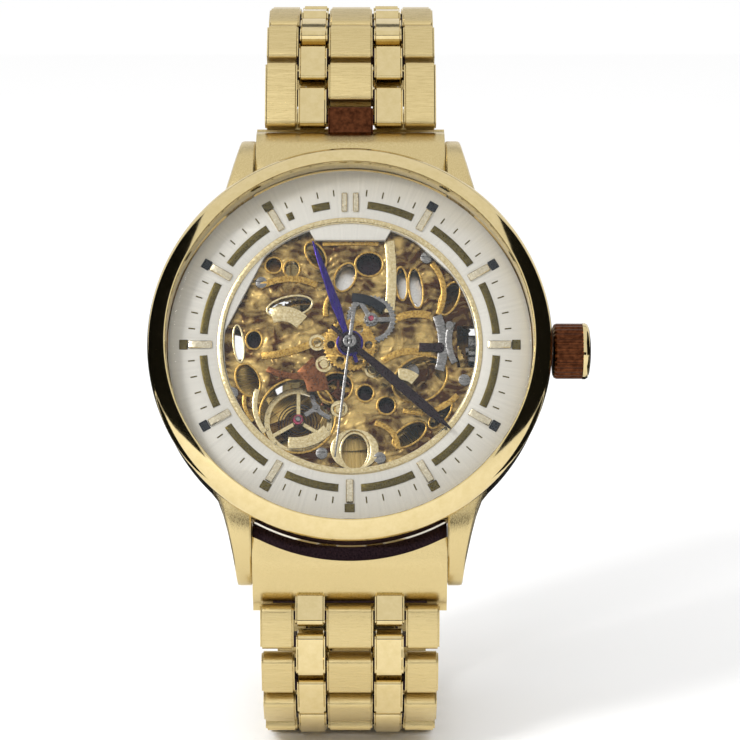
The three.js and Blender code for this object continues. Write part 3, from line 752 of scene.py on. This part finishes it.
def screw(at, low, high, r=0.62):
    """Flat-headed screw with a slot, seen from the side of increasing w when high > low."""
    slot = math.asin(0.16)
    parts = []
    for side in (1, -1):
        pts = []
        for i in range(17):
            a = slot + (math.pi - 2 * slot) * i / 16
            pts.append((at[0] + r * math.cos(a), at[1] + side * r * math.sin(a)))
        parts.append(plate([pts], min(low, high), max(low, high), 0.04))
    floor = low + (high - low) * 0.6
    parts.append(plate([circle(r * 0.98, 32, at)], min(low, floor), max(low, floor), 0.02))
    return join(*parts)


FRONT_SCREWS = [(-11.9, 5.0), (0.0, 12.2), (8.0, 9.6), (-12.2, -5.0), (11.9, -3.6), (3.1, -11.9),
                (-2.9, -11.4), (-9.3, 6.9)]
on_head("front_screws", join(*[screw(at, 1.0, 1.2) for at in FRONT_SCREWS]), ["steel"])


def jewel(at, w0, w1, r=0.7):
    """Ruby in a gold setting; w1 is the visible side."""
    low, high = min(w0, w1), max(w0, w1)
    profile = [(r * 0.72, low), (r * 1.25, low), (r * 1.25, high), (r * 0.9, high),
               (r * 0.72, (low + high) / 2)]
    setting = shifted(lathe(profile, 40), *at)
    stone = puck(r * 0.7, low, high - 0.03 if w1 > w0 else high, at, 28, 0.08)
    return join((setting, 0), (stone, 1))


# set in the front of the plate as decoration, away from the pivots
FRONT_JEWELS = [(-2.7, -1.9), (-3.4, 0.4), (-1.1, -6.7), (2.4, -2.5)]
on_head("front_jewels", join(*[jewel(at, 1.0, 1.18) for at in FRONT_JEWELS]), ["pale", "ruby"])


# ---- wheels
def gear_outline(count, module, clearance=0.05):
    """Rounded teeth, with five points on each."""
    tip = count * module / 2 - clearance
    flank, root = tip - 0.25 * module, tip - 1.1 * module
    tooth = [(-0.30, root), (-0.13, flank), (0.0, tip), (0.13, flank), (0.30, root)]
    return [polar(r, 360 / count * (i + k)) for i in range(count) for k, r in tooth]


def crossings(count, inner, outer, spoke):
    """The openings between the spokes of a wheel."""
    holes = []
    for i in range(count):
        start = 360 * i / count
        ho = math.degrees(math.asin(spoke / 2 / outer))
        hi = math.degrees(math.asin(spoke / 2 / inner))
        span = 360 / count
        pts = [polar(outer, start + ho + (span - 2 * ho) * k / 10) for k in range(11)]
        pts += [polar(inner, start + span - hi - (span - 2 * hi) * k / 4) for k in range(5)]
        holes.append(pts)
    return holes


def wheel(count, module, low, high, spokes, spoke=0.42, hub=1.1, rim=0.75):
    r = count * module / 2
    return plate([gear_outline(count, module), *crossings(spokes, hub, r - rim, spoke)], low, high, 0.03)


def pinion(count, module, low, high, *holes):
    return plate([gear_outline(count, module), *holes], low, high, 0.03)


def arbor(r, low, high, edge=0.06):
    return puck(r, low, high, segments=20, edge=edge)


def train_piece(name, node, joint, parts, mats):
    u, v = axis_uv(joint)
    return on_head(name, shifted(join(*parts), u, v), mats, node)


train_piece("center_wheel_gilt", "center_wheel", "center_spin", [
    (wheel(64, 0.1389, -1.8, -1.6, 5), 0),
    (pinion(10, 0.165, -1.6, -1.1, circle(0.3, 20)), 1),
    (lathe([(0.3, -1.3), (0.5, -1.3), (0.5, 3.2), (0.45, 3.25), (0.3, 3.25)], 24), 1),
], ["gilt", "steel"])
train_piece("third_wheel_gilt", "third_wheel", "third_spin", [
    (wheel(60, 0.147, -2.15, -1.95, 5), 0),
    (pinion(8, 0.1389, -1.95, -1.6), 1),
    (arbor(0.25, -2.75, -0.35), 1),
    (puck(0.6, -2.0, -1.8), 0),
], ["gilt", "steel"])
train_piece("fourth_wheel_gilt", "fourth_wheel", "seconds_spin", [
    (wheel(60, 0.145, -2.5, -2.3, 5), 0),
    (pinion(8, 0.147, -2.3, -1.95), 1),
    (arbor(0.18, -2.75, 3.6, 0.04), 1),
], ["gilt", "steel"])
train_piece("escape_wheel_steel", "escape_wheel", "escape_spin", [
    (wheel(15, 0.3, -0.9, -0.7, 4, 0.3, 0.6, 0.8), 0),
    (plate([gear_outline(6, 0.145, 0.04)], -2.5, -2.25, 0.02), 0),
    (arbor(0.18, -2.75, -0.35, 0.04), 0),
], ["copper_and_dark_reflection"])
train_piece("hour_wheel_gilt", "hour_wheel", "hour_spin", [
    (pinion(40, 0.144, 1.6, 1.8, circle(1.0, 32),
            *[circle(0.42, 20, polar(1.95, 60 * k)) for k in range(6)]), 0),
    (lathe([(1.0, 1.7), (1.3, 1.7), (1.3, 2.15), (1.25, 2.2), (1.0, 2.2)], 40), 0),
], ["gilt"])
train_piece("minute_wheel_steel", "minute_wheel", "minute_wheel_spin", [
    (pinion(36, 0.15, 1.2, 1.4, *crossings(3, 0.75, 2.0, 0.5)), 0),
    (pinion(10, 0.144, 1.4, 1.85, circle(0.3, 20)), 0),
    (arbor(0.28, 1.0, 1.95), 1),
], ["steel", "ruby"])


train_piece("barrel_drum", "barrel", "barrel_spin", [
    (pinion(72, 0.165, -1.45, -1.15), 0),
    (lathe([(0, -1.2), (5.2, -1.2), (5.2, -0.6), (5.05, -0.45), (1.9, -0.45), (1.8, -0.55), (0, -0.55)],
           96), 0),
    (puck(0.9, -0.6, -0.42), 1),
    (puck(0.8, -2.7, -1.4, segments=24), 1),
], ["engraved", "steel"])


def balance():
    rim = [(3.0, -2.1), (3.55, -2.1), (3.6, -2.05), (3.6, -1.65), (3.55, -1.6), (3.0, -1.6)]
    arms = [shifted(box_bm((-0.24, 0.24), (0.3, 3.1), (-2.0, -1.75), 0.05, 1), turn=120 * k)
            for k in range(3)]
    screws = [puck(0.13, -1.7, -1.52, polar(3.3, 30 * k + 15), 14, 0.04) for k in range(12)]
    return [
        (lathe(rim, 96), 0), *[(part, 0) for part in arms + screws],
        (puck(0.3, -2.75, -0.35, segments=24), 1),
        (puck(0.55, -1.05, -0.6), 2),
        (puck(0.6, -2.0, -1.7), 0),
    ]


train_piece("balance_wheel_gilt", "balance_wheel", "balance_swing", balance(), ["pale", "steel", "ruby"])


def spiral(turns, r0, r1, thick, low, high):
    outer, inner = [], []
    a_turn = 48
    steps = a_turn * turns
    for i in range(steps + 1):
        r = r0 + (r1 - r0) * i / steps
        outer.append(polar(r + thick / 2, 360 / a_turn * i))
        inner.append(polar(r - thick / 2, 360 / a_turn * i))
    return plate([outer + inner[::-1]], low, high, 0.01)


coil = shifted(spiral(5, 0.7, 2.25, 0.09, -2.55, -2.3), *axis_uv("balance_swing"))
on_head("hairspring_coil", coil, ["dark"], "hairspring")


def behind_plate(*outlines):
    """A thin disc close behind the plate, seen through its openings."""
    return plate(list(outlines), -0.7, -0.45, 0.04)


# silvery discs of the automatic work, in the two upper openings
on_head("automatic_discs", join(
    behind_plate(circle(1.7, 64, (-0.5, 7.5), 1.1)),
    behind_plate(circle(2.5, 64, (6.7, 6.4), 0.95), circle(0.3, 20, (6.7, 4.8))),
), ["silver"])

SHADED = [(2.0, 8.9, 1.6), (-10.0, 0.7, 1.1), (1.6, -5.0, 1.0), (3.8, -6.3, 1.05)]    # u, v, radius


def backing_plates():
    """What closes some openings: a bronze disc, the floor of the keyless works and near-black discs of
    painted shade.
    """
    keyless_floor = [(11.3, -2.15), (14.3, -2.15), (14.3, 2.15), (11.3, 2.15)]
    # near-black discs behind the openings: painted shade where the background would show through
    dark = [(plate([circle(r, 48, (u, v))], -0.40, -0.24, 0.02), 1) for u, v, r in SHADED]
    return join((behind_plate(circle(1.3, 48, (-8.0, 8.8), 1.1)), 0),
                (plate([keyless_floor], -2.85, -2.62, 0.04), 0), *dark)


on_head("backing_plates", backing_plates(), ["bronze", "dark"])


# ---- movement, back side
def rotor():
    rim_out = [polar(13.4, 180 + 180 * k / 72) for k in range(73)]
    rim_in = [polar(9.9, 360 - 180 * k / 72) for k in range(73)]
    web = [polar(10.3, 184 + 172 * k / 60) for k in range(61)] + [(2.4, 0.3), (-2.4, 0.3)]
    holes = [arc_band(4.6, 8.6, middle - 11, middle + 11, 2.0) for middle in range(198, 360, 36)]
    parts = [
        (plate([rim_out + rim_in], -5.3, -4.3, 0.12, 2), 0),
        (plate([web, *holes], -4.75, -4.35, 0.05), 0),
        (plate([circle(2.5, 64), circle(1.15, 40)], -5.0, -4.3, 0.08), 1),
    ]
    for k in range(4):
        parts.append((puck(0.28, -5.06, -4.9, polar(1.85, 45 + 90 * k), 20, 0.04), 2))
    return join(*parts)


on_head("rotor_weight", rotor(), ["rotor", "pale", "steel"], "rotor", sharp=50)

# CAD nodes whose shape is right, and the metal of each
NODE_MATS = {
    "bronze": ("train_bridge", "barrel_bridge", "balance_cock"),
    "steel": ("movement_ring", "ratchet_wheel", "crown_wheel", "winding_pinion", "pallet_fork",
              "cannon_pinion", "stem", "spring_bar_upper", "spring_bar_lower"),
    "polished": ("clasp_blade_inner", "clasp_blade_middle"),
}
for mat, names in NODE_MATS.items():
    for node in names:
        me = frame["nodes"][node].data
        store_local(me, [TO_HEAD @ v.co for v in me.vertices])
        me.materials.clear()
        me.materials.append(MAT[mat])

PIVOTS = [axis_uv(joint) for joint in ("third_spin", "escape_spin", "balance_swing")]
on_head("bridge_jewels", join(*[jewel(at, -3.35, -3.5, 0.55) for at in PIVOTS]), ["pale", "ruby"])
BRIDGE_SCREWS = [polar(13.2, a) for a in (95, 165, -48, 36)] + [(-9.75, -8.9)]
on_head("bridge_screws", join(*[screw(at, -3.4, -3.62, 0.55) for at in BRIDGE_SCREWS]), ["blued"])


# ---- bracelet
PITCH, KNUCKLE, GAP = 5.1, 1.3, 0.3
CENTRE_HALF, INNER_COL, OUTER_COL = 2.41, (2.61, 5.63), (5.83, 9.29)
TAPER = 0.0115              # how much narrower each row is, over the first one's width
EDGE = 0.5                  # rounding of the outer corners
TRIM = 0.15                 # how much each column stops short of its CAD length
PIN = 0.48                  # radius of a hinge pin
CASE_REACH = 21.06          # radius of the hollow that takes the case
LEDGE = (22.3, -1.5)        # radius and w of the sunk step round the case


def arc(s, z, r, a0, a1, steps):
    """Points round a corner of radius r, from a0 to a1 degrees."""
    turn = [polar(r, a0 + (a1 - a0) * k / steps) for k in range(steps + 1)]
    return [(s + x, z + y) for x, y in turn]


def column(from_s, to_s, hinge_start, hinge_end):
    """Side outline, z inwards: small corners outside, and a full round inside at a hinge."""
    start, end = from_s + TRIM, to_s - TRIM
    r0 = KNUCKLE if hinge_start else 0.25
    r1 = KNUCKLE if hinge_end else 0.25
    return [
        *arc(end - EDGE, EDGE - KNUCKLE, EDGE, -90, 0, 4),
        *arc(end - r1, KNUCKLE - r1, r1, 0, 90, 8),
        *arc(start + r0, KNUCKLE - r0, r0, 90, 180, 8),
        *arc(start + EDGE, EDGE - KNUCKLE, EDGE, 180, 270, 4),
    ]


def both(span, f=1):
    """A span across the bracelet and its mirror image, both scaled by f."""
    return [(span[0] * f, span[1] * f), (-span[1] * f, -span[0] * f)]


def row_mesh(index, next_index, long_outer=False):
    """Columns of the row itself, two that reach to the next hinge, and a bar and pin between them,
    near-black as painted shade in the gaps.
    """
    own, nxt = 1 - TAPER * index, 1 - TAPER * next_index
    tail = PITCH - KNUCKLE - GAP
    short = column(-KNUCKLE, tail, True, False)
    outer = column(-KNUCKLE, PITCH + KNUCKLE, True, True) if long_outer else short
    reach = column(KNUCKLE + GAP, PITCH + KNUCKLE, False, True)
    parts = [(slab(short, -CENTRE_HALF * own, CENTRE_HALF * own, 0.2, 3), 0)]
    parts += [(slab(outer, a, b, 0.2, 3), 0) for a, b in both(OUTER_COL, own)]
    parts += [(slab(reach, a, b, 0.2, 3), 1) for a, b in both(INNER_COL, nxt)]
    # the cross bar and the pin are near-black: painted shade seen through the gaps between the columns
    parts.append((box_bm((-8 * own, 8 * own), (1.95, 3.2), (-0.75, 0.75), 0), 2))
    parts.append((rod(PIN, -8.9 * own, 8.9 * own, segments=16), 2))
    return join(*parts)


ROW_MATS = ["brushed", "polished", "dark"]
lower_count = sum(1 for n in JOINTS if n.startswith("bend_lower"))
upper_count = sum(1 for n in JOINTS if n.startswith("bend_upper"))
lower = [joint_at(f"bend_lower_{k + 1:02d}") for k in range(lower_count)] + [joint_at("blade_inner_fold")]
upper = [joint_at(f"bend_upper_{k + 1:02d}") for k in range(upper_count)]
LAST_HEADING = math.radians(168)
upper.append(upper[-1] + Vector((0, math.sin(LAST_HEADING), math.cos(LAST_HEADING))) * PITCH * MM)


def add_row(side, k, hinge, towards, mesh):
    name = f"{side}_{k + 1:02d}"
    node = f"link_{name}"
    mesh_piece(f"row_{name}", mesh, frame_matrix(hinge, towards - hinge), BODY_OF[node], ROW_MATS, (node,),
               35)


for k in range(lower_count):
    add_row("lower", k, lower[k], lower[k + 1], row_mesh(k, k + 1))
for k in range(upper_count):
    add_row("upper", k, upper[k + 1], upper[k], row_mesh(k + 1, k, k == 0))


def height_on(line, v):
    """Height at v of a line of (v, w) points."""
    for (v0, w0), (v1, w1) in zip(line, line[1:]):
        if v <= v1:
            return w0 + (w1 - w0) * (v - v0) / (v1 - v0)
    return line[-1][1]


def end_link(hinge, sign, step=None):
    """Block between the lugs, hollowed to the case and round the hinge, lofted across its width.

    A step is the (radius, w) of a sunk ledge that runs round the case.
    """
    half, count = 10.08, 48
    end = abs(hinge.y) - KNUCKLE - GAP - 0.35
    low, high = hinge.z - KNUCKLE, hinge.z + KNUCKLE
    top = [(17, 0.75), (20.2, 0.2), (22.8, -0.98), (end - 0.35, high - 0.02), (end, high - 0.35)]
    under = [(17, -3.3), (20.4, -4.1), (22.5, -4.6), (end, min(low + 0.25, -4.4))]
    hollow = [(1.48, math.radians(12 * k)) for k in range(6)] + [(1.85, math.radians(60))]
    cradle = [(abs(hinge.y) - r * math.cos(a), hinge.z - r * math.sin(a)) for r, a in hollow]
    bm = bmesh.new()
    rings = []
    for i in range(count + 1):
        u = -half + 2 * half * i / count
        from_side = min(i, count - i)
        inset = {0: 0.25, 1: 0.07}.get(from_side, 0.0)
        start = math.sqrt(CASE_REACH ** 2 - u * u)
        rise = math.sqrt(step[0] ** 2 - u * u) if step else start
        across = [rise + (end - rise) * k / 10 for k in range(11)]
        across[:1] = [start, rise - 0.05, rise + 0.05] if step else [start]
        across[-2] = end - 0.35
        upper_side = [(v, (step[1] if step and v < rise else height_on(top, v)) - inset) for v in across]
        lower_side = [(v, height_on(under, v) + inset) for v in reversed(across[:-1])]
        rings.append([bm.verts.new((u, sign * v, w)) for v, w in upper_side + cradle + lower_side])
    n = len(rings[0])
    for a, b in zip(rings, rings[1:]):
        for i in range(n):
            bm.faces.new([a[i], a[(i + 1) % n], b[(i + 1) % n], b[i]])
    bm.faces.new(rings[0])
    bm.faces.new(rings[-1])
    return bm


def ledge_fill(inner, outer, half):
    """Floor of the step, from the case to the rise and from lug to lug, near-black as painted shade in the
    recess.
    """
    spread = [math.degrees(math.asin(half / r)) for r in (inner, outer)]
    near = [polar(inner, 270 + spread[0] * k / 20) for k in range(-20, 21)]
    far = [polar(outer, 270 + spread[1] * k / 20) for k in range(20, -21, -1)]
    return plate([near + far], LEDGE[1] - 0.02, LEDGE[1] + 0.08, 0.02)


def outward(outline):
    """An outline with z inwards, turned to the head's w, which points outwards."""
    return [(s, -z) for s, z in outline]


up_hinge, low_hinge = in_head(upper[0]), in_head(lower[0])


def hinge_block(a, b):
    """Part of an end link that reaches round its hinge, from a to b across."""
    return slab(outward(column(-2.4, KNUCKLE, False, True)), a, b, 0.2, 3)


def upper_end_link():
    stub = shifted(hinge_block(-CENTRE_HALF, CENTRE_HALF), 0, up_hinge.y, up_hinge.z)
    pin = rod(PIN, -5.6, 5.6, up_hinge.y, up_hinge.z)
    return join((end_link(up_hinge, 1), 0), (stub, 1), (pin, 2))


def lower_end_link():
    parts = [(end_link(low_hinge, -1, LEDGE), 0)]
    for a, b in both(INNER_COL):
        prong = hinge_block(a, b)
        for v in prong.verts:
            v.co.y = -v.co.y
        parts.append((shifted(prong, 0, low_hinge.y, low_hinge.z), 1))
    # the ledge floor is near-black: painted shade in the sunk step round the case
    parts.append((ledge_fill(CASE_REACH - 0.3, LEDGE[0] - 0.1, 10.05), 2))
    # near-black strip in the gap between the end link and the first row: painted shade
    strip = box_bm((-8, 8), (low_hinge.y + 1.36, low_hinge.y + 1.95), (low_hinge.z - 0.9, low_hinge.z), 0)
    parts.append((strip, 2))
    return join(*parts)


on_head("end_link_12", upper_end_link(), ["satin", "copper_and_dark_reflection", "dark"], "end_link_upper",
        sharp=40)
on_head("end_link_6", lower_end_link(), ["satin", "polished", "dark"], "end_link_lower",
        sharp=40)


# ---- clasp
first, last = lower[-1], upper[-1]
CLASP = frame_matrix(first, last - first)
SPAN = (last - first).length / MM
COVER_HALF = 8.1
COVER_END = SPAN - 2.0
LID_KNUCKLE = 1.2
EAR = [(2.1, -0.4), (3.7, -0.4), (3.7, 1.1), (3.45, 1.7), (2.9, 1.9), (2.35, 1.7), (2.1, 1.1)]
BUTTON = (20.3, 25.7)       # both ends of a push button, along the clasp


def arc_height(s):
    """Outer face of the cover, z inwards: a shallow bow."""
    k = (s - SPAN / 2) / (SPAN / 2)
    return -2.1 + 1.05 * k * k


def lid_strip(s0, s1, x0, x1, bevel=0.25):
    """Part of the bowed lid, from s0 to s1 along it and x0 to x1 across."""
    count = max(3, int((s1 - s0) / 1.5))
    ss = [s0 + (s1 - s0) * k / count for k in range(count + 1)]
    outline = [(s, arc_height(s)) for s in ss] + [(s, arc_height(s) + 1.12) for s in reversed(ss)]
    return slab(outline, x0, x1, bevel, 3, 40)


def lid_knuckle():
    """Side outline of an end that reaches round the spring bar of the last upper row."""
    r = LID_KNUCKLE
    return arc(SPAN, 0, r, -90, 90, 12) + [(SPAN - 0.9, r), (SPAN - 2.6, -0.3), (SPAN - 2.6, -r)]


def clasp_cover():
    parts = [(lid_strip(6.0, COVER_END, -7.2, 7.2), 0)]
    parts += [(lid_strip(-0.6, 6.3, a, b), 0) for a, b in both((5.3, COVER_HALF))]
    for a, b in both((7.0, COVER_HALF)):
        parts += [(lid_strip(6.0, 20.0, a, b), 0), (lid_strip(26.0, COVER_END, a, b), 0)]
    parts += [(slab(EAR, a, b, 0.1, 1), 1) for a, b in both((5.5, 7.0))]
    parts += [(slab(lid_knuckle(), a, b, 0.2, 3), 0) for a, b in both(INNER_COL, 1 - TAPER * upper_count)]
    for s in (10.5, 34.5):
        ss = [s + 0.25 * k for k in range(3)]
        groove = [(x, arc_height(x) - 0.01) for x in ss] + [(x, arc_height(x) + 0.1) for x in reversed(ss)]
        parts.append((slab(groove, -7.0, 7.0, 0, 1), 2))
    return join(*parts)


def push_button(side):
    """Button with five ribs; side is 1 for the right one and -1 for the left one."""
    body = box_bm(sorted((side * 7.95, side * 8.9)), BUTTON, (-1.8, -0.9), 0.2, 3)
    face = sorted((side * 8.86, side * 8.93))
    ribs = [box_bm(face, (21.2 + 0.8 * k, 21.5 + 0.8 * k), (-1.7, -1.0), 0) for k in range(5)]
    return join((body, 0), *[(rib, 1) for rib in ribs])


mesh_piece("clasp_lid", clasp_cover(), CLASP, BODY_OF["clasp_cover"], ["brushed", "polished", "dark"],
           ("clasp_cover",), 30)
for node, side in (("button_right", 1), ("button_left", -1)):
    mesh_piece(f"push_{node}", push_button(side), CLASP, BODY_OF[node], ["polished", "dark"], (node,))


# ---- camera, floor and light
DISTANCE, ELEVATION, LENS = 0.330, 10.0, 153.6
AIM_RIGHT, AIM_DOWN = 2.09 * MM, 2.19 * MM   # the view centre, from the middle of the dial
tilt = math.radians(ELEVATION)
back_dir = Vector((0, -math.cos(tilt), math.sin(tilt)))
up_dir = Vector((0, math.sin(tilt), math.cos(tilt)))
target = CENTRE + Vector((AIM_RIGHT, 0, 0)) - up_dir * AIM_DOWN
cam_data = bpy.data.cameras.new("camera")
cam_data.lens = LENS
cam_data.sensor_width = 36
cam_data.clip_start = 0.01
cam = bpy.data.objects.new("camera", cam_data)
cam.location = target + back_dir * DISTANCE
cam.rotation_euler = (math.radians(90 - ELEVATION), 0, 0)
add_to_scene(cam)
bpy.context.scene.camera = cam


def stage_plane(name, size, location, rotation, grey):
    me = bpy.data.meshes.new(name)
    x, y = size[0] / 2, size[1] / 2
    me.from_pydata([(-x, -y, 0), (x, -y, 0), (x, y, 0), (-x, y, 0)], [], [(0, 1, 2, 3)])
    mat, _, bsdf = nodes_of(name)
    set_inputs(bsdf, Base_Color=(grey, grey, grey, 1), Roughness=0.9, Specular_IOR_Level=0.1)
    me.materials.append(mat)
    obj = bpy.data.objects.new(name, me)
    obj.location = location
    obj.rotation_euler = [math.radians(a) for a in rotation]
    add_to_scene(obj)
    return obj


stage_plane("floor", (6, 6), (0, 0, cad_box[0].z - 0.0002), (0, 0, 0), 0.985)


def card(name, size, location, rotation, grey):
    """A panel that shows only in reflections."""
    obj = stage_plane(name, size, location, rotation, grey)
    obj.visible_camera = False
    obj.visible_diffuse = False
    obj.visible_shadow = False
    obj.visible_transmission = False


NEAR_FLOOR = 0.0006         # just over the floor, so that the floor does not hide a panel
for name, side in (("left", -1), ("right", 1)):
    card(f"dark_card_{name}", (0.5, 0.5), (side * 0.30, -0.05, 0.12), (0, 90, 0), 0.004)
    # patches under the watch and strips beside it: painted shade of the floor beneath it, seen only in
    # reflections
    card(f"dark_patch_{name}", (0.034, 0.058), (side * 0.035, 0.0425, NEAR_FLOOR), (0, 0, 0), 0.004)
    card(f"dark_strip_{name}", (0.19, 0.09), (side * 0.155, 0.015, NEAR_FLOOR), (0, 0, 0), 0.004)
card("dark_card_front", (0.5, 0.16), (0, -0.42, 0.0), (90, 0, 0), 0.01)
card("dark_card_top", (0.5, 0.3), (0, 0.32, 0.36), (50, 0, 0), 0.10)
# dark sheet on the lit floor behind: painted dark reflection, seen only in reflections
card("dark_card_back", (1.2, 0.9), (0, 0.52, NEAR_FLOOR), (0, 0, 0), 0.006)
bpy.context.scene.view_settings.view_transform = "Standard"

world = bpy.data.worlds.new("studio")
bpy.context.scene.world = world
world.use_nodes = True
set_inputs(world.node_tree.nodes["Background"], Color=(1, 1, 1, 1), Strength=1.0)


def area(name, size, location, aim, power):
    data = bpy.data.lights.new(name, "AREA")
    data.shape = "RECTANGLE"
    data.size, data.size_y = size
    data.energy = power
    obj = bpy.data.objects.new(name, data)
    obj.location = location
    obj.rotation_euler = (Vector(aim) - Vector(location)).to_track_quat("-Z", "Y").to_euler()
    add_to_scene(obj)


area("key", (0.20, 0.20), (-0.40, -0.45, 0.50), (0, 0, 0.04), 3.0)
